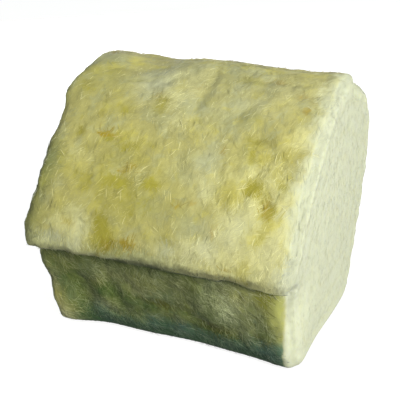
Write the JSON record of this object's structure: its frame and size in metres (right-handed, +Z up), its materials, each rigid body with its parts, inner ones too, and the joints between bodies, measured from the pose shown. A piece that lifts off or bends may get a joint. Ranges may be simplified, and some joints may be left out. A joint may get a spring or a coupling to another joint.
{
  "type": "insulation roll",
  "caption": "Short slumped roll of glass wool blanket with a flat underside, a loose outer end lapped over its front and spiral turns showing on both ends.",
  "frame": {"origin": "middle of the roll's box, on the floor that it lies on", "axes": "+X along the roll, -Y to the front where the loose end hangs, +Z up"},
  "size_m": [0.6, 0.5982, 0.5602],
  "materials": {
    "glass_wool": "matt felted yellow glass wool with straw and olive mottling"
  },
  "bodies": {
    "root": {"blanket_roll": "glass_wool"}
  },
  "joints": []
}
